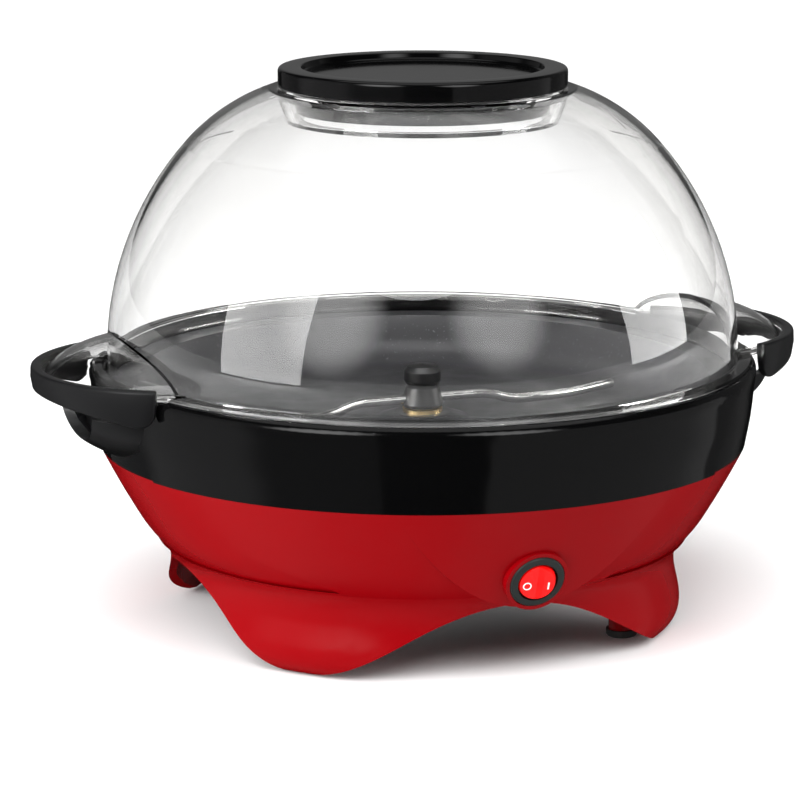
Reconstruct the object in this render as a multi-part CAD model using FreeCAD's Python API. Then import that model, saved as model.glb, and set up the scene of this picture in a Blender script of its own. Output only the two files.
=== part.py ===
import FreeCAD, Part
import math
import os

# Stirring popcorn maker, in millimetres. +Z is up, the switch faces -Y, the handles are at +X and -X.
# The origin is the bottom centre, on the surface that the feet stand on.

V = FreeCAD.Vector
Z_AXIS = V(0, 0, 1)

# Heights
FOOT_PAD_T = 3.0
SKIRT_BOTTOM_Z = 1.0
FLOOR_Z = 34.0          # underside of the base shell's floor ring
FLOOR_T = 3.0
SPLIT_Z = 78.0          # seam between the red base and the black collar
COLLAR_TOP_Z = 113.0
LEDGE_Z = 104.0         # top of the ledge that carries the heating plate
LEDGE_T = 4.0
PLATE_FLOOR_Z = 86.0    # cooking surface
DOME_SEAT_Z = COLLAR_TOP_Z + 0.1
CREST_Z = 227.4         # highest ring of the dome, under the lid's overhang
NECK_BOTTOM_Z = 215.0
LID_TOP_Z = 236.0

# Radii
SPLIT_R = 139.0
COLLAR_R = 143.0
DOME_R = 133.8
DOME_T = 2.6
FLOOR_OPENING_R = 78.0
SHELL_T = 3.0
RECESS = 1.5            # depth of the side recesses beside the front and back panels
NECK_TOP_R = 58.5
NECK_BOTTOM_R = 54.5
LID_R = 60.7
LID_RECESS_R = 50.8

# Handles: crescents round a vertical axis at x = +-HANDLE_CX
HANDLE_CX = 108.5
BAND_R = 61.0
BAND_T = 4.5
BAND_TOP_Z = 118.0
EAR_CX = 111.5
EAR_CZ = 110.0
EAR_R = 54.0            # half width of the ear's blister
EAR_RISE = 21.0

# Feet and arches
FRONT_ARCH_HALF = 77.0
FRONT_ARCH_POWER = 1.2
SIDE_ARCH_HALF = 66.0
SIDE_ARCH_POWER = 1.05
ARCH_RISE = 32.0
PAD_RING_R = 92.0
PAD_R = 6.5

# Rocker switch, in a round cut-out whose face leans down
SWITCH_C = V(0, -124.6, 46.0)
SWITCH_TILT = 20.0
SWITCH_RING_R = 13.4
BEZEL_R = 11.5
CUTOUT_R = 10.1
ROCKER_R = 8.2
ROCKER_PIVOT_W = -1.0
ROCKER_HALF_TRAVEL = 7.0

# Cord bush in the rear wall
GLAND_Z = 46.0
GLAND_Y0 = 100.0
REAR_BOSS_Y = 128.3
GLAND_Y1 = 131.7

# Drive
SHAFT_R = 3.5
RUN_GAP = 0.05
BRACKET_Z = 62.0
GEARBOX_R = 30.0
MOTOR_R = 26.0

os.makedirs("parts", exist_ok=True)


def save(name, shape):
    """Write one node, cleaned of seams left by boolean operations."""
    shape = shape.removeSplitter()
    shape.exportStep("parts/" + name + ".step")


def face_from(edges):
    return Part.Face(Part.Wire(edges))


def line(a, b):
    return Part.makeLine(V(*a), V(*b))


def turn(points):
    """Revolve a closed polygon of (radius, height) points about the Z axis."""
    loop = [V(r, 0, z) for r, z in points]
    return Part.Face(Part.makePolygon(loop + [loop[0]])).revolve(V(), Z_AXIS, 360)


def smooth_turn(curve_points, rest):
    """Revolve a profile: a smooth curve through curve_points, then straight runs back through rest."""
    spline = Part.BSplineCurve()
    spline.interpolate([V(r, 0, z) for r, z in curve_points])
    path = [curve_points[-1]] + rest + [curve_points[0]]
    edges = [spline.toShape()]
    for a, b in zip(path, path[1:]):
        edges.append(line((a[0], 0, a[1]), (b[0], 0, b[1])))
    return face_from(edges).revolve(V(), Z_AXIS, 360)


def prism(points, depth):
    loop = [V(*p) for p in points]
    return Part.Face(Part.makePolygon(loop + [loop[0]])).extrude(depth)


def rod(a, b, radius):
    a, b = V(*a), V(*b)
    return Part.makeCylinder(radius, (b - a).Length, a, b - a)


def tube(outer, inner, z0, z1):
    ring = Part.makeCylinder(outer, z1 - z0, V(0, 0, z0))
    return ring.cut(Part.makeCylinder(inner, z1 - z0, V(0, 0, z0)))


def joined(shapes):
    shapes = list(shapes)
    return shapes[0].fuse(shapes[1:]) if len(shapes) > 1 else shapes[0]


def polar(radius, degrees, z=0.0):
    a = math.radians(degrees)
    return V(radius * math.cos(a), radius * math.sin(a), z)


def quarter_copies(shape, start=0.0):
    return [shape.rotated(V(), Z_AXIS, start + 90 * i) for i in range(4)]


def half_turn(shape):
    return shape.rotated(V(), Z_AXIS, 180)


def other_side(shape):
    return shape.mirror(V(), V(1, 0, 0))


def pan_screw(seat, direction, length, shank_r, head_r, head_t):
    """A screw with a domed head whose seat is at the given point; the shank runs along direction."""
    shank = Part.makeCylinder(shank_r, length, seat, direction)
    head = Part.makeCylinder(head_r, head_t, seat, direction * -1)
    screw = shank.fuse(head)
    slot = Part.makeBox(head_r * 1.4, 0.8, 1.0, V(-head_r * 0.7, -0.4, 0))
    turn_to = FreeCAD.Rotation(Z_AXIS, direction * -1)
    slot.Placement = FreeCAD.Placement(seat - direction * (head_t - 0.9), turn_to)
    return screw.cut(slot)


# ---------------------------------------------------------------- red base shell

BOWL = [(SPLIT_R, SPLIT_Z), (133.4, 67), (129.6, 60), (125.6, 53), (121.2, 46), (115.6, 39.5), (109.5, 35)]
BOWL_INNER = [(r - SHELL_T * 1.05, z + (0 if i == 0 else 1.2)) for i, (r, z) in enumerate(BOWL)]


def bowl_solid():
    return smooth_turn(BOWL, [(107, FLOOR_Z), (0, FLOOR_Z), (0, SPLIT_Z)])


def bowl_cavity():
    inner = BOWL_INNER[:-1]
    top = SPLIT_Z + 1
    return smooth_turn(inner, [(108.5, FLOOR_Z + FLOOR_T), (0, FLOOR_Z + FLOOR_T), (0, top), (inner[0][0], top)])


def shield_edge(x):
    """Lower edge of the front shield: a parabola from the switch up to the seam."""
    return 33.0 + 0.0125 * x * x


def front_shield():
    """The flatter panel round the switch, standing a little proud of the bowl."""
    cone = turn([(0, 33), (117, 33), (SPLIT_R, SPLIT_Z), (0, SPLIT_Z)])
    xs = [-60 + 6 * i for i in range(21)]
    edge = Part.BSplineCurve()
    edge.interpolate([V(x, -90, shield_edge(x)) for x in xs])
    a, b = V(-60, -90, shield_edge(60)), V(60, -90, shield_edge(60))
    window = Part.Face(Part.Wire([edge.toShape(), Part.makeLine(b, a)])).extrude(V(0, -60, 0))
    return cone.common(window).cut(bowl_cavity())


def foot_skirt():
    outer = [(113.6, 38.2), (110.9, 35.2), (108.9, 31.5), (108.2, 26.5), (109, 20), (110.4, 14), (111, 8.5),
             (109.8, 3.8), (107, SKIRT_BOTTOM_Z)]
    return smooth_turn(outer, [(104.2, 1.6), (106.6, 6), (107.4, 13), (105, 24), (104.6, 36), (110, 37.2)])


def arch_cut(half_width, power):
    """A tunnel under the base along Y, one arch wide: it leaves a foot on each side."""
    steps = 18
    points = []
    for i in range(steps + 1):
        x = half_width * (2 * i / steps - 1)
        points.append(V(x, -150, ARCH_RISE * max(0.0, math.cos(math.pi * x / (2 * half_width))) ** power))
    crown = Part.BSplineCurve()
    crown.interpolate(points)
    low = -5.0
    sides = Part.makePolygon([points[-1], V(half_width, -150, low), V(-half_width, -150, low), points[0]])
    return Part.Face(Part.Wire([crown.toShape()] + sides.Edges)).extrude(V(0, 300, 0))


# Edges of the right side recess down the body: (height, degrees from the switch to the front
# panel's edge, the same to the back panel's edge).
RECESS_EDGES = [(116, 47, 110), (110, 44, 109.5), (104, 41.5, 107.5), (98, 40, 105.8), (91, 38.8, 105),
                (84, 38, 106), (78, 37.6, 107.8), (71, 37.2, 110), (66, 36, 112.5), (60, 32.8, 117),
                (54, 29, 123), (48, 25.4, 130), (42, 21, 138), (36, 17.5, 144)]
BODY = [(109.5, 35), (115.6, 39.5), (121.2, 46), (125.6, 53), (129.6, 60), (133.4, 67), (139, 78),
        (141.4, 92), (142.8, 106), (142.7, 111.2), (141.2, 116)]


def body_radius(z):
    for (r0, z0), (r1, z1) in zip(BODY, BODY[1:]):
        if z <= z1:
            return r0 + (r1 - r0) * (z - z0) / (z1 - z0)


def side_space():
    """The space beside the front and back panels: its ends slope at 45 degrees to the body's surface."""
    sections = []
    for z, front, back in RECESS_EDGES:
        corners = []
        for degrees, inward in ((front - 90, 1), (back - 90, -1)):
            edge = polar(body_radius(z), degrees, z)
            slope = polar(1, degrees) - polar(1, degrees + 90) * inward
            corners.append((edge - slope * 14, edge + slope * 14))
        (a_in, a_out), (b_in, b_out) = corners
        middle = polar(240, (front + back) / 2 - 90, z)
        sections.append(Part.makePolygon([a_in, a_out, middle, b_out, b_in, a_in]))
    return Part.makeLoft(sections, True, False)


def side_recesses(curve, lowest=0.0):
    """The two shallow slices that set the body's sides back from its panels."""
    ends = [(0, curve[-1][1]), (0, curve[0][1])]
    core = smooth_turn([(r - RECESS, z) for r, z in curve], ends)
    sliver = smooth_turn(curve, ends).cut(core).common(side_space())
    if lowest:
        sliver = sliver.cut(Part.makeCylinder(200, lowest))
    return [sliver, half_turn(sliver)]


def base_shell():
    side_arch = arch_cut(SIDE_ARCH_HALF, SIDE_ARCH_POWER).rotated(V(), Z_AXIS, 90)
    skirt = foot_skirt().cut([arch_cut(FRONT_ARCH_HALF, FRONT_ARCH_POWER), side_arch])
    shell = bowl_solid().cut(bowl_cavity())
    shell = shell.cut(Part.makeCylinder(FLOOR_OPENING_R, 20, V(0, 0, FLOOR_Z - 5)))
    shield = front_shield()
    posts = [Part.makeCylinder(5.5, FLOOR_Z - FOOT_PAD_T + 1, polar(PAD_RING_R, 45 + 90 * i, FOOT_PAD_T))
             for i in range(4)]
    pillars = [Part.makeCylinder(6, BRACKET_Z - 36, V(x, 0, 36)) for x in (-92, 92)]
    ring = Part.makeCylinder(SWITCH_RING_R, 8, V(0, 0, -6.5))
    rear_boss = rod((0, 112, GLAND_Z), (0, REAR_BOSS_Y, GLAND_Z), 12)
    shell = shell.fuse([skirt, shield, half_turn(shield), to_switch(ring), rear_boss] + posts + pillars)
    shell = shell.cut(side_recesses(BOWL, 38.0))
    holes = [to_switch(Part.makeCylinder(CUTOUT_R, 30, V(0, 0, -20)))]
    holes.append(to_switch(Part.makeCylinder(BEZEL_R + 0.2, 6, V(0, 0, 0))))
    holes.append(rod((0, 100, GLAND_Z), (0, 135, GLAND_Z), 7.0))
    holes += [Part.makeCylinder(1.5, 12, polar(81.5, 90 * i, FLOOR_Z - 1)) for i in range(4)]
    holes += [Part.makeCylinder(1.5, 12, V(x, 0, BRACKET_Z - 11)) for x in (-92, 92)]
    holes += [Part.makeCylinder(1.8, 6, polar(PAD_RING_R, 45 + 90 * i, FOOT_PAD_T - 1)) for i in range(4)]
    return shell.cut(holes)


def to_switch(shape):
    """Move a shape built round +Z onto the switch's tilted axis, +X kept."""
    shape.rotate(V(), V(1, 0, 0), 90 + SWITCH_TILT)
    shape.translate(SWITCH_C)
    return shape


# ---------------------------------------------------------------- black collar and grips

def collar():
    outer = [(SPLIT_R, SPLIT_Z), (141.4, 92), (142.8, 106), (142.7, 111.2), (141.2, COLLAR_TOP_Z)]
    rest = [(136.2, COLLAR_TOP_Z), (134.6, 111.5), (134.6, LEDGE_Z), (121, LEDGE_Z), (121, LEDGE_Z - LEDGE_T),
            (137.2, LEDGE_Z - LEDGE_T), (137.4, 96), (135.4, 80.5), (131.5, 80.5), (131.5, 74), (129.5, 74),
            (129.5, SPLIT_Z)]
    ring = smooth_turn(outer, rest)
    ring = ring.cut(side_recesses(outer))
    holes = [Part.makeCylinder(1.4, 3, polar(126, 45 + 90 * i, LEDGE_Z - LEDGE_T - 0.1)) for i in range(4)]
    return ring.cut(holes)


def side_grip():
    """A scooped finger grip under the dome's handle, its root lying on the collar's side."""
    outer = [(50.0, 101.5), (49.0, 97), (44.8, 91), (38.5, 86.2), (30.5, 82)]
    inner = [(46.8, 101.5), (45.8, 97.6), (42.2, 92.8), (36.5, 88.8), (29, 85.2)]
    filled = smooth_turn(outer, [(0, 82), (0, 101.5)])
    shell = smooth_turn(outer, [(29, 82), inner[-1], inner[-2], inner[-3], inner[-4], inner[0]])
    to_axis = V(HANDLE_CX, 0, 0)
    filled.translate(to_axis)
    shell.translate(to_axis)
    skin = [(r - RECESS + 0.05, z) for r, z in [(SPLIT_R, SPLIT_Z), (141.4, 92), (142.8, 106)]]
    body = smooth_turn(skin, [(0, 106), (0, SPLIT_Z)])
    mouth = Part.Ellipse(V(130, 24, 102), V(130, 0, 89), V(130, 0, 102)).toShape()
    mouth = Part.Face(Part.Wire([mouth])).extrude(V(60, 0, 0))
    root = turn([(136.5, 82), (142.8, 84), (144.6, 99), (139.8, 101.5)]).common(filled)
    return shell.cut(mouth).fuse(root).cut([body, collar()])


def rubber_feet():
    pad = Part.makeCylinder(PAD_R, FOOT_PAD_T, polar(PAD_RING_R, 45))
    pad = pad.makeChamfer(0.6, [e for e in pad.Edges if abs(e.CenterOfMass.z) < 0.01])
    stem = Part.makeCylinder(1.6, 4, polar(PAD_RING_R, 45, FOOT_PAD_T))
    return Part.makeCompound(quarter_copies(pad.fuse(stem)))


def bottom_cover():
    dish = turn([(84.5, FLOOR_Z - 2.4), (84.5, FLOOR_Z), (74, FLOOR_Z), (70, 22.4), (0, 22.4), (0, 20),
                 (71.8, 20), (75.4, FLOOR_Z - 2.4)])
    vents = []
    for row in range(-2, 3):
        for column in (-1, 1):
            vents.append(Part.makeBox(26, 3.2, 6, V(column * 32 - 13, row * 9 - 1.6, 18)))
    holes = [Part.makeCylinder(1.7, 8, polar(81.5, 90 * i, FLOOR_Z - 5)) for i in range(4)]
    return dish.cut(vents + holes)


# ---------------------------------------------------------------- heating plate and what hangs under it

def heating_plate():
    top = [(121.8, LEDGE_Z + 2.4), (119.6, 103.6), (114, 95.4), (106, 89), (96, 86.4), (88, PLATE_FLOOR_Z)]
    plate = smooth_turn(top, [(20, PLATE_FLOOR_Z), (12, PLATE_FLOOR_Z + 2.5), (6.05, PLATE_FLOOR_Z + 2.5),
                              (6.05, PLATE_FLOOR_Z), (11, PLATE_FLOOR_Z), (19, PLATE_FLOOR_Z - 2.2),
                              (98, PLATE_FLOOR_Z - 2), (107.6, 87), (116, 94.4), (120.4, LEDGE_Z + 0.5),
                              (133.4, LEDGE_Z + 0.5), (133.4, LEDGE_Z + 2.4)])
    return plate


def plate_seal():
    return tube(130.0, 124.0, LEDGE_Z, LEDGE_Z + 0.5)


def heat_shield():
    t = 0.8
    top = LEDGE_Z - LEDGE_T
    dish = turn([(9, 68.2), (106.6, 68.2), (120.4, top - t), (129.5, top - t), (129.5, top), (119.8, top),
                 (106, 69), (9, 69)])
    holes = [Part.makeCylinder(1.7, 4, polar(126, 45 + 90 * i, 97)) for i in range(4)]
    holes += [Part.makeCylinder(5, 4, polar(62, a, 67)) for a in (-20, 20)]
    return dish.cut(holes)


def shield_screws():
    screw = pan_screw(polar(126, 45, LEDGE_Z - LEDGE_T - 0.8), V(0, 0, 1), 3.6, 1.35, 3.0, 1.8)
    return Part.makeCompound(quarter_copies(screw))


def heating_element():
    """A sheathed ring with an open end, clipped under the plate, and its two cold pins."""
    z, r = 80.2, 3.4
    section = Part.Face(Part.Wire(Part.makeCircle(r, V(62, 0, z), V(0, 1, 0))))
    ring = section.revolve(V(), Z_AXIS, 320).rotated(V(), Z_AXIS, 20)
    pins = [Part.makeCylinder(2.2, 22, polar(62, a, z - 22)) for a in (-20, 20)]
    return ring.fuse(pins)


def gearbox():
    body = Part.makeCylinder(GEARBOX_R, 22, V(0, 0, 38))
    lugs = [Part.makeCylinder(6, 3, V(x, 0, 57)) for x in (-34, 34)]
    neck = Part.makeCylinder(9, 3, V(0, 0, 60))
    bore = Part.makeCylinder(SHAFT_R + RUN_GAP, 16, V(0, 0, 48))
    screw_holes = [Part.makeCylinder(1.7, 10, V(x, 0, 55)) for x in (-34, 34)]
    return body.fuse(lugs + [neck]).cut([bore] + screw_holes)


def motor():
    can = Part.makeCylinder(MOTOR_R, 14.5, V(0, 0, 23.5))
    ribs = [Part.makeBox(4, 3, 12, V(MOTOR_R - 1, -1.5, 24.5)).rotated(V(), Z_AXIS, 30 * i) for i in range(12)]
    return can.fuse(ribs)


def motor_bracket():
    strip = Part.makeBox(200, 30, 2, V(-100, -15, BRACKET_Z))
    disc = Part.makeCylinder(44, 2, V(0, 0, BRACKET_Z))
    stand_off = tube(14, 9.3, 60, BRACKET_Z)
    holes = [Part.makeCylinder(9.3, 6, V(0, 0, 58))]
    holes += [Part.makeCylinder(1.8, 6, V(x, 0, 60)) for x in (-92, -34, 34, 92)]
    return strip.fuse([disc, stand_off]).cut(holes)


def bracket_screws():
    down = V(0, 0, -1)
    top = BRACKET_Z + 2
    long_pair = [pan_screw(V(x, 0, top), down, 11, 1.45, 3.2, 2) for x in (-92, 92)]
    short_pair = [pan_screw(V(x, 0, top), down, 8.5, 1.6, 3.2, 2) for x in (-34, 34)]
    return Part.makeCompound(long_pair + short_pair)


def cover_screws():
    screw = pan_screw(V(81.5, 0, FLOOR_Z - 2.4), V(0, 0, 1), 5.2, 1.45, 2.8, 1.8)
    return Part.makeCompound(quarter_copies(screw))


def thermostat():
    can = Part.makeCylinder(8, 5, V(28, 24, 78.7))
    base = Part.makeCylinder(9, 4, V(28, 24, 74.7))
    blades = [Part.makeBox(4.8, 0.8, 4, V(x, 23.6, 70.8)) for x in (21, 30.2)]
    return can.fuse([base] + blades)


def thermal_fuse():
    sleeve = rod((-36, 30, 77.5), (-20, 30, 77.5), 2.4)
    leads = [rod((-44, 30, 77.5), (-36, 30, 77.5), 0.5), rod((-20, 30, 77.5), (-12, 30, 77.5), 0.5)]
    clip = Part.makeBox(6, 8, 3.6, V(-31, 26, 80.1))
    return sleeve.fuse(leads + [clip])


def terminal_block():
    block = Part.makeBox(30, 13, 10, V(10, 80, FLOOR_Z + FLOOR_T))
    wells = [Part.makeCylinder(2.2, 6, V(15 + 10 * i, 87, FLOOR_Z + FLOOR_T + 5)) for i in range(3)]
    return block.cut(wells)


def cord_gland():
    """The strain-relief bush in the rear wall, with its through hole for the supply cord."""
    barrel = rod((0, GLAND_Y0, GLAND_Z), (0, REAR_BOSS_Y + 1, GLAND_Z), 6.9)
    flange = rod((0, REAR_BOSS_Y + 0.1, GLAND_Z), (0, GLAND_Y1, GLAND_Z), 10)
    nut = rod((0, GLAND_Y0, GLAND_Z), (0, GLAND_Y0 + 4.5, GLAND_Z), 8.5)
    return barrel.fuse([flange, nut]).cut(rod((0, 95, GLAND_Z), (0, 140, GLAND_Z), 3.6))


def wire_run(points, radius):
    """One insulated wire: straight lengths joined by round corners."""
    lengths = [rod(a, b, radius) for a, b in zip(points, points[1:])]
    corners = [Part.makeSphere(radius, V(*p)) for p in points[1:-1]]
    return joined(lengths + corners)


def internal_wires():
    live = wire_run([(0, 98.4, GLAND_Z), (2, 94, 52), (8, 88, 55), (15, 87, 52), (15, 87, 47.4)], 1.3)
    switch_lead = wire_run([(25, 87, 47.4), (25, 87, 55), (104, 40, 57), (104, -40, 57), (40, -98, 57),
                            (6.6, -100.5, 53)], 1.3)
    motor_lead = wire_run([(35, 87, 47.4), (35, 82, 53), (30, 50, 50), (20, 26, 50)], 1.3)
    return Part.makeCompound([live, switch_lead, motor_lead])


# ---------------------------------------------------------------- switch

def switch_body():
    """The switch's black housing: round flange, barrel and a well for the rocker."""
    flange = Part.makeCylinder(BEZEL_R, 2.2, V(0, 0, 0))
    rim = [e for e in flange.Edges if abs(e.CenterOfMass.z - 2.2) < 0.01]
    flange = flange.makeFillet(0.9, rim)
    barrel = Part.makeCylinder(CUTOUT_R - 0.1, 15, V(0, 0, -15))
    well = Part.makeCylinder(ROCKER_R + 0.3, 10, V(0, 0, -7.5))
    pivots = Part.makeCylinder(1.05, 19.2, V(0, -9.6, ROCKER_PIVOT_W), V(0, 1, 0))
    return to_switch(flange.fuse(barrel).cut([well, pivots]))


def switch_terminals():
    blades = [Part.makeBox(0.8, 6.3, 9, V(x - 0.4, -3.15, -24)) for x in (-5, 5)]
    return Part.makeCompound([to_switch(blade) for blade in blades])


def rocker():
    """The round rocker, tipped to its off position, with two pivot pins and raised marks."""
    pivot = V(0, 0, ROCKER_PIVOT_W)
    ball = Part.makeSphere(ROCKER_R, pivot)
    slab = Part.makeBox(20, 20, 6.6, V(-10, -10, -3.6))
    body = ball.common(slab)
    dish = prism([(-9, -10, 4.4), (9, -10, 4.4), (0, -10, 2.5)], V(0, 20, 0))
    body = body.cut(dish)
    pins = Part.makeCylinder(1.0, 18.4, V(0, -9.2, ROCKER_PIVOT_W), V(0, 1, 0))
    piece = body.fuse(pins)
    piece.rotate(pivot, V(0, 1, 0), -ROCKER_HALF_TRAVEL)
    return to_switch(piece)


# ---------------------------------------------------------------- stirrer

def drive_shaft():
    shaft = Part.makeCylinder(SHAFT_R, 51, V(0, 0, 49))
    flat = Part.makeBox(4, 10, 8, V(2.6, -5, 92.2))
    return shaft.cut(flat)


def shaft_bush():
    bush = tube(6.0, SHAFT_R + RUN_GAP, PLATE_FLOOR_Z - 4, PLATE_FLOOR_Z + 2.5)
    return bush.fuse(tube(8.5, SHAFT_R + RUN_GAP, PLATE_FLOOR_Z + 2.5, PLATE_FLOOR_Z + 4))


def stirrer_hub():
    hub = turn([(0, 90.6), (8, 90.6), (9, 92), (7.4, 99), (6, 100.4), (0, 100.4)])
    bore = Part.makeCylinder(SHAFT_R, 9.4, V(0, 0, 90.6))
    flat = Part.makeBox(4, 10, 7.8, V(2.6, -5, 92.2))
    cross = rod((-12, 0, 94), (12, 0, 94), 2.0)
    return hub.cut(bore.cut(flat)).cut(cross)


def stirring_rod():
    """One bent wire through the hub: arms that step down and sweep just above the plate."""
    path = [V(3.6, 0, 94), V(30, 0, 94), V(42, 1, 90), V(70, 6, 89.2), V(96, 16, 89.9)]
    arm = bent_wire(path, 2.0)
    return Part.makeCompound([arm, half_turn(arm)])


def bent_wire(points, radius):
    """A round wire along a polyline whose corners are rounded by tangent arcs."""
    edges = []
    start = points[0]
    for before, corner, after in zip(points, points[1:], points[2:]):
        towards_in = (before - corner).normalize()
        towards_out = (after - corner).normalize()
        half = (math.pi - towards_in.getAngle(towards_out)) / 2
        reach = 0.45 * min((before - corner).Length, (after - corner).Length)
        bend_r = reach / math.tan(half)
        a = corner + towards_in * reach
        b = corner + towards_out * reach
        inward = (towards_in + towards_out).normalize()
        mid = corner + inward * (bend_r / math.cos(half) - bend_r)
        edges.append(Part.makeLine(start, a))
        edges.append(Part.Arc(a, mid, b).toShape())
        start = b
    edges.append(Part.makeLine(start, points[-1]))
    path = Part.Wire(edges)
    section = Part.Wire(Part.makeCircle(radius, points[0], points[1] - points[0]))
    return path.makePipeShell([section], True, False)


def stirrer_cap():
    return turn([(0, 100.5), (7, 100.5), (8, 102), (8, 106), (6.4, 108.2), (0, 109)])


# ---------------------------------------------------------------- dome

def dome_outline(offset):
    """Edges from the dome's foot to its crest: a spherical stretch, then a flatter crown."""
    base_r = DOME_R - offset
    z0 = DOME_SEAT_Z + 1.9
    lean = math.radians(41.8)
    crest = V(64, 0, CREST_Z - offset)
    foot = V(base_r, 0, z0)
    mid = V(base_r * math.cos(lean / 2), 0, z0 + base_r * math.sin(lean / 2))
    knee = V(base_r * math.cos(lean), 0, z0 + base_r * math.sin(lean))
    side = Part.Arc(foot, mid, knee).toShape()
    chord = crest - knee
    tangent = V(-math.sin(lean), 0, math.cos(lean))
    crown_r = chord.Length ** 2 / (2 * abs(chord.x * tangent.z - chord.z * tangent.x))
    centre = knee - V(math.cos(lean), 0, math.sin(lean)) * crown_r
    middle = (knee + crest) / 2 - centre
    crown_mid = centre + middle.normalize() * crown_r
    return [side, Part.Arc(knee, crown_mid, crest).toShape()]


def dome_wall():
    outer = dome_outline(0)
    inner = dome_outline(DOME_T)
    z0 = DOME_SEAT_Z + 1.9
    neck = [(64, CREST_Z), (60.5, CREST_Z - 0.2), (NECK_TOP_R, CREST_Z - 3), (NECK_BOTTOM_R, NECK_BOTTOM_Z),
            (51, NECK_BOTTOM_Z), (51, NECK_BOTTOM_Z - 2.2), (NECK_BOTTOM_R + 2.4, NECK_BOTTOM_Z - 2.2),
            (NECK_TOP_R + 2.2, CREST_Z - 5), (64, CREST_Z - DOME_T)]
    edges = list(outer)
    for a, b in zip(neck, neck[1:]):
        edges.append(line((a[0], 0, a[1]), (b[0], 0, b[1])))
    edges += inner
    edges.append(line((DOME_R - DOME_T, 0, z0), (DOME_R, 0, z0)))
    wire = Part.Wire(Part.__sortEdges__(edges))
    return Part.Face(wire).revolve(V(), Z_AXIS, 360)


def dome_filled(offset):
    """The dome as a plain solid, with no neck: the space inside its outer or inner surface."""
    outline = dome_outline(offset)
    foot, crest = outline[0].Vertexes[0].Point, outline[1].Vertexes[1].Point
    low = 95.0
    path = [(crest.x, crest.z), (0, crest.z), (0, low), (foot.x, low), (foot.x, foot.z)]
    edges = list(outline)
    for a, b in zip(path, path[1:]):
        edges.append(line((a[0], 0, a[1]), (b[0], 0, b[1])))
    return Part.Face(Part.Wire(Part.__sortEdges__(edges))).revolve(V(), Z_AXIS, 360)


def upper_spheroid(radius, rise):
    """The upper half of a flattened ball about the vertical axis of the ear."""
    ellipse = Part.Ellipse(V(radius, 0, 0), V(0, 0, rise), V(0, 0, 0))
    quarter = Part.ArcOfEllipse(ellipse, 0, math.pi / 2).toShape()
    edges = [quarter, line((0, 0, rise), (0, 0, 0)), line((0, 0, 0), (radius, 0, 0))]
    half = face_from(edges).revolve(V(), Z_AXIS, 360)
    half.translate(V(EAR_CX, 0, EAR_CZ))
    return half


def ear(side_copy):
    """A clear blister between the dome and its handle, open below for the fingers."""
    thin = 2.2
    outer = upper_spheroid(EAR_R, EAR_RISE)
    inner = upper_spheroid(EAR_R - thin, EAR_RISE - thin)
    inside = Part.makeCylinder(BAND_R - BAND_T - 0.05, 60, V(HANDLE_CX, 0, 90))
    above = Part.makeBox(60, 140, 60, V(120, -70, DOME_SEAT_Z))
    blister = outer.common(inside).common(above)
    plate = Part.makeCylinder(BAND_R - BAND_T - 0.05, 2.4, V(HANDLE_CX, 0, DOME_SEAT_Z))
    plate = plate.common(Part.makeBox(60, 140, 60, V(120, -70, DOME_SEAT_Z)))
    return side_copy(blister), side_copy(plate), side_copy(inner)


def dome_shell():
    z0 = DOME_SEAT_Z
    flange = turn([(DOME_R - DOME_T, z0), (139.2, z0), (139.6, z0 + 0.6), (139.2, z0 + 1.6), (134.4, z0 + 2.0),
                   (DOME_R - DOME_T, z0 + 2.0)])
    spigot = turn([(DOME_R - DOME_T, z0 + 1), (DOME_R, z0 + 1), (DOME_R, LEDGE_Z + 4.2), (131.6, LEDGE_Z + 4.2)])
    hollow = dome_filled(DOME_T)
    filled = dome_filled(0)
    shell = dome_wall().fuse([flange, spigot])
    for side_copy in (lambda s: s, other_side):
        blister, plate, inner = ear(side_copy)
        shell = shell.fuse([blister.cut(hollow), plate.cut(hollow)])
        shell = shell.cut(inner.cut(filled))
    return shell


def dome_handle():
    """A black crescent band round the clear ear; its underside rises towards the tip."""
    ring = Part.makeCylinder(BAND_R, 20, V(HANDLE_CX, 0, BAND_TOP_Z - 17))
    ring = ring.cut(Part.makeCylinder(BAND_R - BAND_T, 20, V(HANDLE_CX, 0, BAND_TOP_Z - 17)))
    ring = ring.common(Part.makeBox(80, 140, 17, V(100, -70, BAND_TOP_Z - 17)))
    ramp = prism([(120, -80, 95), (180, -80, 95), (180, -80, 110), (134, -80, 100.5)], V(0, 160, 0))
    clear_of_body = Part.makeCylinder(COLLAR_R + 0.9, 60, V(0, 0, 90))
    corner = Part.makeBox(60, 12, 9, V(110, 47.5, BAND_TOP_Z - 17.5))
    corner = corner.cut(rod((105, 47.5, BAND_TOP_Z - 8.5), (175, 47.5, BAND_TOP_Z - 8.5), 9))
    band = ring.cut([ramp, clear_of_body, corner, corner.mirror(V(), V(0, 1, 0))])
    top = [e for e in band.Edges if abs(e.CenterOfMass.z - BAND_TOP_Z) < 0.01 and e.Length > 60]
    return band.makeFillet(1.2, top)


# ---------------------------------------------------------------- lid

def lid_cap():
    """The cap: a flat ring round a shallow recess, a rounded drop edge and a skirt inside the neck."""
    top = LID_TOP_Z
    profile = [(0, top - 2.8), (LID_RECESS_R - 0.8, top - 2.8), (LID_RECESS_R, top - 2.4), (LID_RECESS_R + 0.6, top),
               (LID_R - 1.6, top), (LID_R - 0.4, top - 0.7), (LID_R, top - 2.2), (LID_R, top - 8.1),
               (LID_R - 2.6, top - 8.1), (LID_R - 2.8, top - 5.2), (55.6, top - 5.2), (53.4, top - 18.5),
               (51.4, top - 18.5), (53.0, top - 5.2), (0, top - 5.2)]
    return turn(profile)


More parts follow.
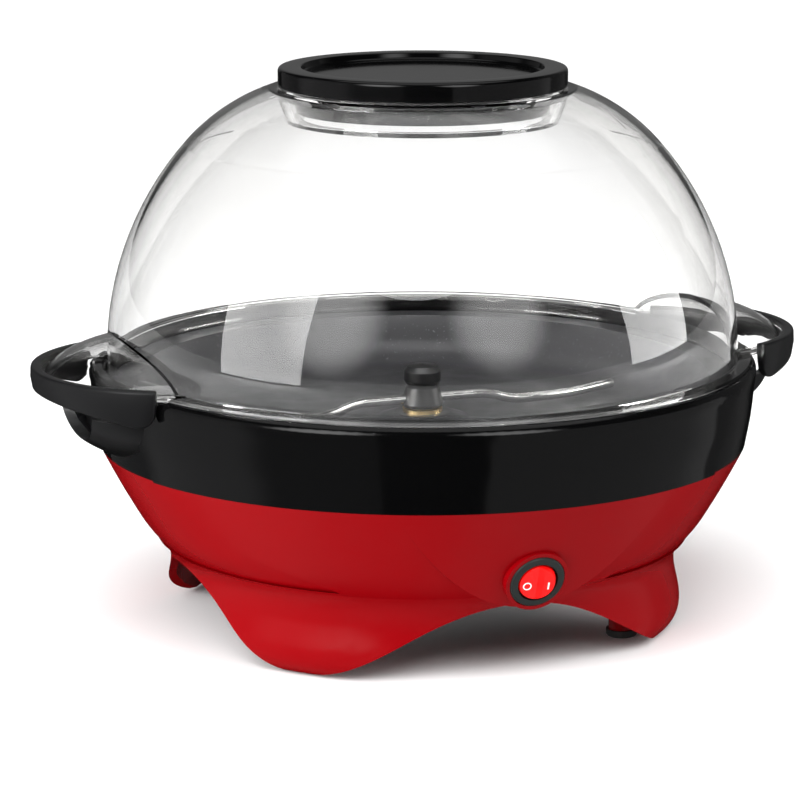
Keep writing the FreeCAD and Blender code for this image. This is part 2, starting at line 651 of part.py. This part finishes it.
NODES = {
    "base_shell": base_shell,
    "collar": collar,
    "right_side_grip": side_grip,
    "left_side_grip": lambda: half_turn(side_grip()),
    "rubber_feet": rubber_feet,
    "bottom_cover": bottom_cover,
    "cover_screws": cover_screws,
    "heating_plate": heating_plate,
    "plate_seal": plate_seal,
    "heating_element": heating_element,
    "heat_shield": heat_shield,
    "shield_screws": shield_screws,
    "motor": motor,
    "gearbox": gearbox,
    "motor_bracket": motor_bracket,
    "bracket_screws": bracket_screws,
    "thermostat": thermostat,
    "thermal_fuse": thermal_fuse,
    "terminal_block": terminal_block,
    "cord_gland": cord_gland,
    "internal_wires": internal_wires,
    "switch_body": switch_body,
    "switch_terminals": switch_terminals,
    "rocker": rocker,
    "shaft_bush": shaft_bush,
    "drive_shaft": drive_shaft,
    "stirrer_hub": stirrer_hub,
    "stirring_rod": stirring_rod,
    "stirrer_cap": stirrer_cap,
    "dome_shell": dome_shell,
    "right_dome_handle": dome_handle,
    "left_dome_handle": lambda: other_side(dome_handle()),
    "lid_cap": lid_cap,
}

for node_name, make in NODES.items():
    save(node_name, make())
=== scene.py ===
import bmesh
import bpy
import math
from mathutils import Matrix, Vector


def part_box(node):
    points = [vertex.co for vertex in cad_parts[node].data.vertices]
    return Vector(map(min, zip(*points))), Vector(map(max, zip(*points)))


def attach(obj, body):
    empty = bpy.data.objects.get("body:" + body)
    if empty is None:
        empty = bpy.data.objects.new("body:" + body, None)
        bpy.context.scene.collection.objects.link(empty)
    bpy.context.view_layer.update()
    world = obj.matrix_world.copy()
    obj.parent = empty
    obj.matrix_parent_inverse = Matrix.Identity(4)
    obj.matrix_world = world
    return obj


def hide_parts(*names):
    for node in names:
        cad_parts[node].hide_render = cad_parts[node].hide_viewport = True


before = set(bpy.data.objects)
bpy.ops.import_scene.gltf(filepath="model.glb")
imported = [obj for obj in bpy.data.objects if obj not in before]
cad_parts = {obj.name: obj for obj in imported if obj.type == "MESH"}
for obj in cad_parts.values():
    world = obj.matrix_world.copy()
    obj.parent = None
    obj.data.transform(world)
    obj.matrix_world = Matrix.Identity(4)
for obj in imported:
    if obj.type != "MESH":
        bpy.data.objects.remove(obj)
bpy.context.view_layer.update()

MM = 0.001
LATHE_STEPS = 240
CRESCENT_STEPS = 144

# ---------------------------------------------------------------- sizes and places (metres, radians)

LID_LO, LID_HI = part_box("lid_cap")
BAND_LO, BAND_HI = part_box("right_dome_handle")

HANDLE_CX = 108.5 * MM                   # vertical axis of each handle's crescent, at x = +-HANDLE_CX
BAND_R = 61.0 * MM
BAND_T = 4.5 * MM
BAND_TOP_Z = BAND_HI.z
BAND_SPAN = math.radians(64.5)           # from the tip to each end of the band
BAND_TURN = math.radians(8.5)            # stretch at each end where the lower corner is rounded
BAND_CORNER_R = 9.0 * MM
BAND_RISE = 7.5 * MM                     # how much higher the underside is at the tip than at the ends
BAND_END_COS = 0.43                      # cosine of the angle where that rise has run out
LID_R = LID_HI.x
LID_TOP = LID_HI.z


# ---------------------------------------------------------------- mesh helpers

def new_piece(name, bm, body, node=None, smooth=True):
    """Turns a bmesh into a piece that rides on a body and, where a node is named, stands for it."""
    bmesh.ops.recalc_face_normals(bm, faces=bm.faces)
    mesh = bpy.data.meshes.new(name)
    bm.to_mesh(mesh)
    bm.free()
    for face in mesh.polygons:
        face.use_smooth = smooth
    piece = bpy.data.objects.new(name, mesh)
    bpy.context.scene.collection.objects.link(piece)
    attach(piece, body)
    if node:
        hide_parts(node)
    return piece


def fillet(points, steps=6):
    """Rounds the corners of a closed loop of (r, z, radius) points; radius 0 keeps the corner sharp."""
    out = []
    count = len(points)
    for i, (r, z, rad) in enumerate(points):
        here = Vector((r, z))
        if rad <= 0:
            out.append(here)
            continue
        before = Vector(points[i - 1][:2]) - here
        after = Vector(points[(i + 1) % count][:2]) - here
        half = before.angle(after) / 2
        reach = min(rad / math.tan(half), before.length * 0.49, after.length * 0.49)
        a, b = here + before.normalized() * reach, here + after.normalized() * reach
        for k in range(steps + 1):
            t = k / steps
            out.append(a * (1 - t) ** 2 + here * 2 * t * (1 - t) + b * t ** 2)
    return out


def lathe(loop):
    """A closed loop of (r, z) points revolved about the machine's vertical axis."""
    bm = bmesh.new()
    rings = []
    for k in range(LATHE_STEPS):
        a = 2 * math.pi * k / LATHE_STEPS
        rings.append([bm.verts.new((r * math.cos(a), r * math.sin(a), z)) for r, z in loop])
    for k in range(LATHE_STEPS):
        here, there = rings[k], rings[(k + 1) % LATHE_STEPS]
        for i in range(len(loop)):
            j = (i + 1) % len(loop)
            if loop[i][0] < 1e-7 and loop[j][0] < 1e-7:
                continue
            bm.faces.new((here[i], there[i], there[j], here[j]))
    bmesh.ops.remove_doubles(bm, verts=bm.verts, dist=1e-6)
    return bm


# ---------------------------------------------------------------- materials

def material(name):
    m = bpy.data.materials.new(name)
    m.use_nodes = True
    return m, m.node_tree.nodes, m.node_tree.links, m.node_tree.nodes["Principled BSDF"]


def coords(nodes):
    return nodes.new("ShaderNodeTexCoord").outputs["Object"]


def noise(nodes, links, scale, detail=4.0, rough=0.5):
    n = nodes.new("ShaderNodeTexNoise")
    n.inputs["Scale"].default_value = scale
    n.inputs["Detail"].default_value = detail
    n.inputs["Roughness"].default_value = rough
    links.new(coords(nodes), n.inputs["Vector"])
    return n.outputs["Fac"]


def ramp(nodes, links, value, low, high, a, b):
    """Maps a value in [low, high] onto a mix of two colours or numbers."""
    r = nodes.new("ShaderNodeValToRGB")
    r.color_ramp.elements[0].position = low
    r.color_ramp.elements[1].position = high
    r.color_ramp.elements[0].color = (*a, 1)
    r.color_ramp.elements[1].color = (*b, 1)
    links.new(value, r.inputs["Fac"])
    return r.outputs["Color"]


def add_bump(nodes, links, shader, height, strength, distance):
    b = nodes.new("ShaderNodeBump")
    b.inputs["Strength"].default_value = strength
    b.inputs["Distance"].default_value = distance
    links.new(height, b.inputs["Height"])
    links.new(b.outputs["Normal"], shader.inputs["Normal"])


def grey(value):
    return (value,) * 3


def moulded_plastic(name, base, shade, gloss, spread, coat, grain, grain_scale, level=0.5):
    """Injection-moulded plastic: slight flow variation in colour and gloss, and a fine surface ripple."""
    m, nodes, links, shader = material(name)
    colour = ramp(nodes, links, noise(nodes, links, 9.0), 0.3, 0.7, base, shade)
    links.new(colour, shader.inputs["Base Color"])
    wear = noise(nodes, links, 60.0, 6.0, 0.6)
    rough = ramp(nodes, links, wear, 0.3, 0.75, grey(gloss), grey(gloss + spread))
    links.new(rough, shader.inputs["Roughness"])
    shader.inputs["IOR"].default_value = 1.5
    shader.inputs["Specular IOR Level"].default_value = level
    shader.inputs["Coat Weight"].default_value = coat
    shader.inputs["Coat Roughness"].default_value = 0.03
    add_bump(nodes, links, shader, noise(nodes, links, grain_scale, 3.0), grain, 0.0002)
    return m


def clear_plastic():
    """Polished clear polymer, very slightly warm in the thickness; its shadow is nearly clear."""
    m, nodes, links, shader = material("clear_plastic")
    tint = ramp(nodes, links, noise(nodes, links, 6.0, 2.0), 0.3, 0.7, (1.0, 1.0, 1.0), (0.995, 0.99, 0.975))
    links.new(tint, shader.inputs["Base Color"])
    shader.inputs["Transmission Weight"].default_value = 1.0
    shader.inputs["Roughness"].default_value = 0.0
    shader.inputs["IOR"].default_value = 1.46
    add_bump(nodes, links, shader, noise(nodes, links, 14.0, 2.0), 0.02, 0.0004)
    clear = nodes.new("ShaderNodeBsdfTransparent")
    clear.inputs["Color"].default_value = (0.93, 0.93, 0.92, 1)
    rays = nodes.new("ShaderNodeLightPath")
    mix = nodes.new("ShaderNodeMixShader")
    links.new(rays.outputs["Is Shadow Ray"], mix.inputs[0])
    links.new(shader.outputs[0], mix.inputs[1])
    links.new(clear.outputs[0], mix.inputs[2])
    links.new(mix.outputs[0], nodes["Material Output"].inputs["Surface"])
    return m


def metal(name, base, shade, gloss, spread, scale, stretch=(1, 1, 1)):
    """Bare or plated metal with drawn or brushed variation."""
    m, nodes, links, shader = material(name)
    mapping = nodes.new("ShaderNodeMapping")
    mapping.inputs["Scale"].default_value = stretch
    links.new(coords(nodes), mapping.inputs["Vector"])
    n = nodes.new("ShaderNodeTexNoise")
    n.inputs["Scale"].default_value = scale
    n.inputs["Detail"].default_value = 6.0
    links.new(mapping.outputs["Vector"], n.inputs["Vector"])
    links.new(ramp(nodes, links, n.outputs["Fac"], 0.3, 0.7, base, shade), shader.inputs["Base Color"])
    links.new(ramp(nodes, links, n.outputs["Fac"], 0.3, 0.7, grey(gloss), grey(gloss + spread)),
              shader.inputs["Roughness"])
    shader.inputs["Metallic"].default_value = 1.0
    add_bump(nodes, links, shader, n.outputs["Fac"], 0.1, 0.0001)
    return m


def non_stick():
    """Dark non-stick coating with a fine pale speckle."""
    m, nodes, links, shader = material("non_stick")
    grains = noise(nodes, links, 900.0, 2.0)
    speck = ramp(nodes, links, grains, 0.66, 0.72, (0.022, 0.022, 0.024), (0.10, 0.10, 0.11))
    links.new(speck, shader.inputs["Base Color"])
    links.new(ramp(nodes, links, noise(nodes, links, 80.0), 0.3, 0.7, grey(0.3), grey(0.42)),
              shader.inputs["Roughness"])
    shader.inputs["Metallic"].default_value = 0.3
    add_bump(nodes, links, shader, noise(nodes, links, 700.0, 3.0), 0.05, 0.0001)
    return m


def rubber(name, base, shade):
    """Matt elastomer or silicone with a fine grain."""
    m, nodes, links, shader = material(name)
    colour = ramp(nodes, links, noise(nodes, links, 50.0), 0.3, 0.7, base, shade)
    links.new(colour, shader.inputs["Base Color"])
    shader.inputs["Roughness"].default_value = 0.75
    add_bump(nodes, links, shader, noise(nodes, links, 1400.0, 3.0), 0.2, 0.0002)
    return m


RED = moulded_plastic("red_gloss", (0.195, 0.0005, 0.002), (0.18, 0.0004, 0.0018),
                      gloss=0.2, spread=0.05, coat=0.0, grain=0.01, grain_scale=60.0, level=0.17)
BLACK_GLOSS = moulded_plastic("black_gloss", (0.001, 0.001, 0.0011), (0.0015, 0.0015, 0.0016),
                              gloss=0.07, spread=0.04, coat=0.0, grain=0.015, grain_scale=220.0)
BLACK_SATIN = moulded_plastic("black_satin", (0.004, 0.004, 0.0043), (0.006, 0.006, 0.0064),
                              gloss=0.3, spread=0.08, coat=0.0, grain=0.1, grain_scale=1500.0)
SWITCH_BLACK = moulded_plastic("switch_black", (0.012, 0.015, 0.0145), (0.018, 0.021, 0.02),
                               gloss=0.25, spread=0.08, coat=0.0, grain=0.1, grain_scale=1200.0)
SWITCH_RED = moulded_plastic("switch_red", (0.80, 0.003, 0.002), (0.70, 0.002, 0.002),
                             gloss=0.16, spread=0.06, coat=0.3, grain=0.02, grain_scale=500.0)
MARK_WHITE = moulded_plastic("mark_white", (0.85, 0.82, 0.8), (0.8, 0.78, 0.76),
                             gloss=0.4, spread=0.1, coat=0.0, grain=0.05, grain_scale=900.0)
CLEAR = clear_plastic()
NON_STICK = non_stick()
BRIGHT = metal("bright_steel", (0.62, 0.62, 0.61), (0.72, 0.72, 0.71), 0.14, 0.12, 300.0, (1, 1, 0.1))
ZINC = metal("zinc_steel", (0.5, 0.51, 0.52), (0.62, 0.63, 0.64), 0.3, 0.2, 40.0)
BRASS = metal("contact_brass", (0.7, 0.5, 0.22), (0.78, 0.6, 0.3), 0.25, 0.15, 200.0)
SILICONE = rubber("seal_silicone", (0.6, 0.58, 0.54), (0.68, 0.66, 0.62))
FOOT_RUBBER = rubber("foot_rubber", (0.012, 0.012, 0.012), (0.022, 0.022, 0.021))
SLEEVE = rubber("wire_sleeve", (0.7, 0.67, 0.6), (0.78, 0.75, 0.68))

NODE_MATERIALS = {
    RED: ["base_shell"],
    BLACK_GLOSS: ["collar", "lid_cap"],
    BLACK_SATIN: ["right_side_grip", "left_side_grip", "bottom_cover", "cord_gland", "stirrer_hub",
                  "stirrer_cap", "right_dome_handle", "left_dome_handle"],
    SWITCH_BLACK: ["switch_body"],
    SWITCH_RED: ["rocker"],
    CLEAR: ["dome_shell"],
    NON_STICK: ["heating_plate"],
    BRIGHT: ["stirring_rod", "drive_shaft", "heating_element", "thermostat", "thermal_fuse"],
    ZINC: ["heat_shield", "shield_screws", "cover_screws", "bracket_screws", "motor", "gearbox",
           "motor_bracket"],
    BRASS: ["shaft_bush", "switch_terminals"],
    SILICONE: ["plate_seal"],
    FOOT_RUBBER: ["rubber_feet"],
    SLEEVE: ["internal_wires", "terminal_block"],
}


def dress(piece, mat):
    piece.data.materials.clear()
    piece.data.materials.append(mat)


for mat, names in NODE_MATERIALS.items():
    for node_name in names:
        for object_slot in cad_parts[node_name].material_slots:
            object_slot.material = mat


# ---------------------------------------------------------------- cap

def make_cap():
    """Glossy cap: rounded rim, shallow recess with a small step, drop edge and a skirt in the neck."""
    top = LID_TOP
    loop = fillet([
        (0.0, top - 2.9 * MM, 0),
        (47.0 * MM, top - 2.9 * MM, 0.8 * MM),
        (50.2 * MM, top - 2.5 * MM, 0.8 * MM),
        (51.0 * MM, top, 0.7 * MM),
        (LID_R, top, 1.9 * MM),
        (LID_R, top - 8.2 * MM, 0.7 * MM),
        (LID_R - 2.4 * MM, top - 8.2 * MM, 0.7 * MM),
        (LID_R - 2.6 * MM, top - 5.2 * MM, 0.4 * MM),
        (55.6 * MM, top - 5.2 * MM, 0.4 * MM),
        (53.4 * MM, LID_LO.z, 0.7 * MM),
        (51.6 * MM, LID_LO.z, 0.7 * MM),
        (53.2 * MM, top - 5.2 * MM, 0.6 * MM),
        (0.0, top - 5.2 * MM, 0),
    ])
    cap = new_piece("dome_cap", lathe(loop), "lid", "lid_cap")
    dress(cap, BLACK_GLOSS)


make_cap()


# ---------------------------------------------------------------- dome handles

def crescent(side, half_span, section):
    """Sweeps section(angle), a closed loop of (r, z) points, about one handle's vertical axis."""
    bm = bmesh.new()
    loops = []
    for k in range(CRESCENT_STEPS + 1):
        angle = half_span * (2 * k / CRESCENT_STEPS - 1)
        loops.append([bm.verts.new((side * (HANDLE_CX + r * math.cos(angle)), r * math.sin(angle), z))
                      for r, z in section(angle)])
    for here, there in zip(loops, loops[1:]):
        for i in range(len(here)):
            j = (i + 1) % len(here)
            bm.faces.new((here[i], there[i], there[j], here[j]))
    bm.faces.new(loops[0])
    bm.faces.new(loops[-1])
    return bm


def band_section(angle):
    """A band with rounded edges, an underside that rises to the tip and round lower corners at its ends."""
    near_end = max(0.0, (abs(angle) - BAND_SPAN + BAND_TURN) / BAND_TURN)
    rounding = BAND_CORNER_R * (1 - math.sqrt(max(0.0, 1 - near_end ** 2)))
    rise = BAND_RISE * (math.cos(angle) - BAND_END_COS) / (1 - BAND_END_COS)
    low = max(BAND_LO.z, BAND_LO.z + rise + rounding)
    high = BAND_TOP_Z
    return fillet([
        (BAND_R - BAND_T, high, 1.0 * MM),
        (BAND_R - 0.2 * MM, high, 1.3 * MM),
        (BAND_R, (high + low) / 2 + 0.35 * MM, 0),
        (BAND_R - 0.9 * MM, low, 1.2 * MM),
        (BAND_R - BAND_T + 0.5 * MM, low, 1.0 * MM),
    ], 5)


def make_handles():
    for side, word in ((1, "right"), (-1, "left")):
        band = new_piece(word + "_handle_band", crescent(side, BAND_SPAN, band_section), "dome",
                         word + "_dome_handle")
        dress(band, BLACK_SATIN)


make_handles()


# ---------------------------------------------------------------- printed marks on the rocker

SWITCH_C = Vector((0, -124.6 * MM, 46 * MM))
SWITCH_TILT = math.radians(20)           # the bezel leans down from upright
OFF_TILT = math.radians(-7)              # the rocker in its off position
PIVOT_W = -1.0 * MM                      # the rocker's pivot, outward from the bezel's centre
MARK_LOW, MARK_HIGH = 2.95, 3.12         # bottom and top of the print, in millimetres outward


def on_rocker(x, y, z):
    """A point of the rocker's own face (millimetres; z is outward) as it stands in the off position."""
    across, up, out = x * MM, y * MM, z * MM - PIVOT_W
    across, out = (across * math.cos(OFF_TILT) + out * math.sin(OFF_TILT),
                   out * math.cos(OFF_TILT) - across * math.sin(OFF_TILT))
    out += PIVOT_W
    outward = Vector((0, -math.cos(SWITCH_TILT), -math.sin(SWITCH_TILT)))
    upward = Vector((0, -math.sin(SWITCH_TILT), math.cos(SWITCH_TILT)))
    return SWITCH_C + Vector((across, 0, 0)) + upward * up + outward * out


def mark(name, outlines):
    """A thin raised print: closed outline(s) of (x, y), the second one being a hole."""
    bm = bmesh.new()
    rings = []
    for outline in outlines:
        rings.append([[bm.verts.new(on_rocker(x, y, z)) for x, y in outline] for z in (MARK_LOW, MARK_HIGH)])
    for bottom, top in rings:
        for i in range(len(bottom)):
            j = (i + 1) % len(bottom)
            bm.faces.new((bottom[i], bottom[j], top[j], top[i]))
    for level in (0, 1):
        if len(rings) == 1:
            bm.faces.new(rings[0][level])
        else:
            outer, inner = rings[0][level], rings[1][level]
            for i in range(len(outer)):
                j = (i + 1) % len(outer)
                bm.faces.new((outer[i], outer[j], inner[j], inner[i]))
    piece = new_piece(name, bm, "switch_rocker", smooth=False)
    dress(piece, MARK_WHITE)


def circle(cx, cy, radius, steps=48):
    angles = [2 * math.pi * k / steps for k in range(steps)]
    return [(cx + radius * math.cos(a), cy + radius * math.sin(a)) for a in angles]


mark("rocker_off_mark", [circle(-4.1, -1.0, 1.75), circle(-4.1, -1.0, 1.3)])
mark("rocker_on_mark", [[(4.35, -2.6), (4.95, -2.6), (4.95, 0.6), (4.35, 0.6)]])


# ---------------------------------------------------------------- floor, light, camera

def make_floor():
    bm = bmesh.new()
    bmesh.ops.create_grid(bm, x_segments=1, y_segments=1, size=6.0)
    mesh = bpy.data.meshes.new("floor")
    bm.to_mesh(mesh)
    bm.free()
    floor = bpy.data.objects.new("floor", mesh)
    bpy.context.scene.collection.objects.link(floor)
    m, nodes, links, shader = material("studio_floor")
    links.new(ramp(nodes, links, noise(nodes, links, 3.0), 0.3, 0.7, (0.9, 0.9, 0.9), (0.92, 0.92, 0.92)),
              shader.inputs["Base Color"])
    shader.inputs["Roughness"].default_value = 0.5
    dress(floor, m)
    floor.visible_glossy = False


def aimed_at(place, aim):
    return (Vector(place) - Vector(aim)).to_track_quat("Z", "Y")


def soft_box(name, place, aim, size, power):
    """A soft box that lights without a mirrored rectangle; the studio's sheens come from the world."""
    data = bpy.data.lights.new(name, "AREA")
    data.shape = "RECTANGLE"
    data.size, data.size_y = size
    data.energy = power
    lamp = bpy.data.objects.new(name, data)
    lamp.location = place
    lamp.rotation_mode = "QUATERNION"
    lamp.rotation_quaternion = aimed_at(place, aim)
    lamp.visible_glossy = False
    bpy.context.scene.collection.objects.link(lamp)


def main_light(strength, spread, place):
    data = bpy.data.lights.new("main_light", "SUN")
    data.energy = strength
    data.angle = math.radians(spread)
    lamp = bpy.data.objects.new("main_light", data)
    lamp.rotation_mode = "QUATERNION"
    lamp.rotation_quaternion = aimed_at(place, (0, 0, 0))
    lamp.visible_glossy = False
    bpy.context.scene.collection.objects.link(lamp)


class Sky:
    """Small helper that adds up soft patches of light by direction in the world's node tree."""

    def __init__(self, tree):
        self.nodes, self.links = tree.nodes, tree.links
        direction = self.nodes.new("ShaderNodeTexCoord").outputs["Generated"]
        split = self.nodes.new("ShaderNodeSeparateXYZ")
        self.links.new(direction, split.inputs[0])
        self.direction = direction
        self.height = split.outputs["Z"]
        away = self.maths("MULTIPLY", split.outputs["Y"], -1.0)
        self.azimuth = self.maths("MULTIPLY", self.maths("ARCTAN2", split.outputs["X"], away), 180 / math.pi)
        self.total = None

    def maths(self, operation, a, b):
        node = self.nodes.new("ShaderNodeMath")
        node.operation = operation
        for socket, value in zip(node.inputs, (a, b)):
            if isinstance(value, (int, float)):
                socket.default_value = value
            else:
                self.links.new(value, socket)
        return node.outputs[0]

    def ease(self, value, start, end):
        """0 before start, 1 after end, smooth in between; it falls where end is below start."""
        node = self.nodes.new("ShaderNodeMapRange")
        node.interpolation_type = "SMOOTHSTEP"
        low, high = min(start, end), max(start, end)
        for name, number in (("From Min", low), ("From Max", high),
                             ("To Min", float(end < start)), ("To Max", float(end > start))):
            node.inputs[name].default_value = number
        self.links.new(value, node.inputs["Value"])
        return node.outputs["Result"]

    def add(self, patch, strength):
        patch = self.maths("MULTIPLY", patch, strength)
        self.total = patch if self.total is None else self.maths("ADD", self.total, patch)

    def strip(self, left, right, edge, low, high, strength):
        """A panel between two azimuths and two heights (sine of the elevation), with soft edges."""
        patch = self.maths("MULTIPLY", self.ease(self.azimuth, left, left + edge),
                           self.ease(self.azimuth, right, right - edge))
        patch = self.maths("MULTIPLY", patch, self.ease(self.height, low, low + 0.1))
        self.add(self.maths("MULTIPLY", patch, self.ease(self.height, high, high - 0.1)), strength)

    def glow(self, azimuth, elevation, radius, strength):
        """A round soft glow about one direction; radius is where it has faded out, in degrees."""
        a, e = math.radians(azimuth), math.radians(elevation)
        centre = (math.cos(e) * math.sin(a), -math.cos(e) * math.cos(a), math.sin(e))
        dot = self.nodes.new("ShaderNodeVectorMath")
        dot.operation = "DOT_PRODUCT"
        self.links.new(self.direction, dot.inputs[0])
        dot.inputs[1].default_value = centre
        self.add(self.ease(dot.outputs["Value"], math.cos(math.radians(radius)), 1.0), strength)


def make_light():
    world = bpy.data.worlds.new("studio")
    bpy.context.scene.world = world
    world.use_nodes = True
    tree = world.node_tree
    plain = tree.nodes["Background"]
    plain.inputs["Color"].default_value = (1, 1, 1, 1)
    plain.inputs["Strength"].default_value = PLAIN_SKY
    sky = Sky(tree)
    sky.add(sky.ease(sky.height, -1.1, -1.0), SHEEN_BASE)
    for patch in SHEEN_STRIPS:
        sky.strip(*patch)
    for patch in SHEEN_GLOWS:
        sky.glow(*patch)
    sheen = tree.nodes.new("ShaderNodeBackground")
    sheen.inputs["Color"].default_value = (1, 1, 1, 1)
    tree.links.new(sky.total, sheen.inputs["Strength"])
    rays = tree.nodes.new("ShaderNodeLightPath")
    mix = tree.nodes.new("ShaderNodeMixShader")
    tree.links.new(rays.outputs["Is Glossy Ray"], mix.inputs[0])
    tree.links.new(plain.outputs[0], mix.inputs[1])
    tree.links.new(sheen.outputs[0], mix.inputs[2])
    tree.links.new(mix.outputs[0], tree.nodes["World Output"].inputs["Surface"])
    main_light(3.7, 60, (-0.25, -0.55, 1.0))
    soft_box("key_left", (-1.6, -0.3, 0.5), LAMP_AIM, (1.0, 1.0), 46)
    soft_box("key_right", (1.5, -0.5, 0.5), LAMP_AIM, (0.9, 0.9), 26)


LAMP_AIM = (0, 0, 0.06)
PLAIN_SKY = 0.3
SHEEN_BASE = 0.006                       # what a glossy surface sees outside every panel and glow
# left edge, right edge, softness (degrees), lowest, highest (sine of elevation), strength
SHEEN_STRIPS = [
    (-172, -35, 1.5, -1.0, 0.3, 0.07),
    (1.5, 100, 1.5, -1.0, 0.3, 0.2),
    (-140, -75, 14, -1.0, 0.6, 0.2),
    (80, 140, 14, -1.0, 0.6, 0.06),
    (-180, 180, 0.1, 0.75, 1.2, 0.6),
]
# azimuth, elevation, radius (degrees), strength
SHEEN_GLOWS = [
    (159, 13, 30, 0.15),
    (-56, 20, 22, 3.2),
    (8, 20, 20, 2.6),
]


CAMERA_AZIMUTH = -21.2       # degrees, the camera stands on the -X side of the front
CAMERA_REACH = 1.352
CAMERA_HEIGHT = 0.392
CAMERA_LENS = 145.8          # on a 36 mm sensor
AIM = (-0.0089, 0.0034, 0.093)


def make_camera():
    data = bpy.data.cameras.new("camera")
    data.lens = CAMERA_LENS
    data.sensor_width = 36
    camera = bpy.data.objects.new("camera", data)
    a = math.radians(CAMERA_AZIMUTH)
    camera.location = (CAMERA_REACH * math.sin(a), -CAMERA_REACH * math.cos(a), CAMERA_HEIGHT)
    camera.rotation_mode = "QUATERNION"
    camera.rotation_quaternion = aimed_at(camera.location, AIM)
    bpy.context.scene.collection.objects.link(camera)
    bpy.context.scene.camera = camera


make_floor()
make_light()
make_camera()
bpy.context.scene.view_settings.view_transform = "Standard"
